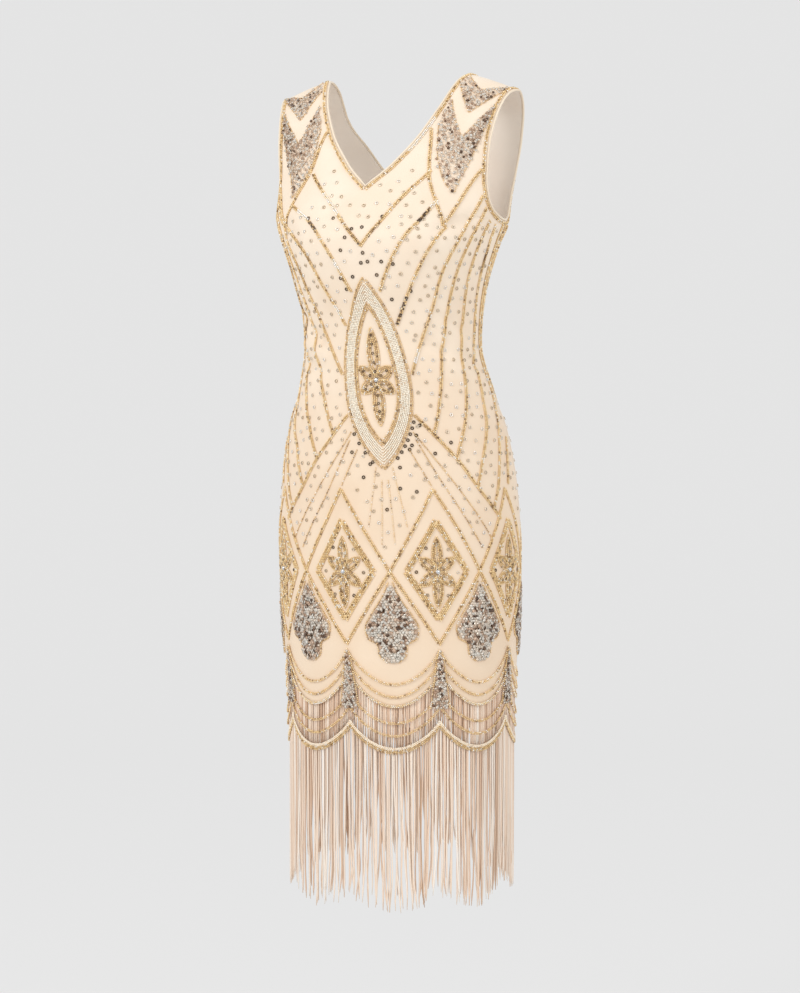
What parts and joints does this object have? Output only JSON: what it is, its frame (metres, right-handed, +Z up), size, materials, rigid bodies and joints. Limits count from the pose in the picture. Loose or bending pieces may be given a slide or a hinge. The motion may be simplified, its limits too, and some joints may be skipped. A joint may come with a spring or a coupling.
{
  "type": "flapper dress",
  "caption": "Sleeveless V-neck flapper dress, worn hollow form, with beaded rays and lozenges, a scalloped hem and a long fringe.",
  "frame": {"origin": "midway between the shoulders, at the height of the middle of the two straps, where the wearer's shoulders carry the dress", "axes": "+Z up along the dress, -Y to the wearer's front, +X to the wearer's left"},
  "size_m": [0.3273, 0.275, 1.0668],
  "materials": {
    "cream_cloth": "cream satin-backed cloth, softly sheened",
    "inner_satin": "plain satin on the inside",
    "piping": "smooth cream piping",
    "gold_bead": "small gold-lined glass beads",
    "silver_sequin": "silver and bronze sequins",
    "white_bead": "small pearly white beads",
    "crystal": "clear cut stone",
    "chainette": "soft peach chainette strands"
  },
  "bodies": {
    "root": {"front_panel": "cream_cloth", "back_panel": "cream_cloth", "neck_binding": "piping", "armhole_binding_left": "piping", "armhole_binding_right": "piping", "strand_band_front": "chainette", "strand_band_back": "chainette", "fringe_front": "chainette", "fringe_back": "chainette", "hem_trim": "white_bead", "medallion_band": "white_bead", "chevron_left_upper_front": "silver_sequin", "chevron_left_lower_front": "silver_sequin", "chevron_left_upper_back": "silver_sequin", "chevron_right_upper_front": "silver_sequin", "chevron_right_lower_front": "silver_sequin", "chevron_right_upper_back": "silver_sequin", "skirt_fan_1": "silver_sequin", "skirt_fan_2": "silver_sequin", "skirt_fan_3": "silver_sequin", "skirt_fan_4": "silver_sequin", "skirt_fan_5": "silver_sequin", "skirt_fan_6": "silver_sequin", "skirt_fan_7": "silver_sequin", "skirt_fan_8": "silver_sequin", "skirt_drop_1": "silver_sequin", "skirt_drop_2": "silver_sequin", "skirt_drop_3": "silver_sequin", "skirt_drop_4": "silver_sequin", "skirt_drop_5": "silver_sequin", "skirt_drop_6": "silver_sequin", "skirt_drop_7": "silver_sequin", "skirt_drop_8": "silver_sequin", "lozenge_stone_1": "crystal", "lozenge_stone_2": "crystal", "lozenge_stone_3": "crystal", "lozenge_stone_4": "crystal", "lozenge_stone_5": "crystal", "lozenge_stone_6": "crystal", "lozenge_stone_7": "crystal", "lozenge_stone_8": "crystal", "medallion_stone": "crystal"}
  },
  "joints": []
}
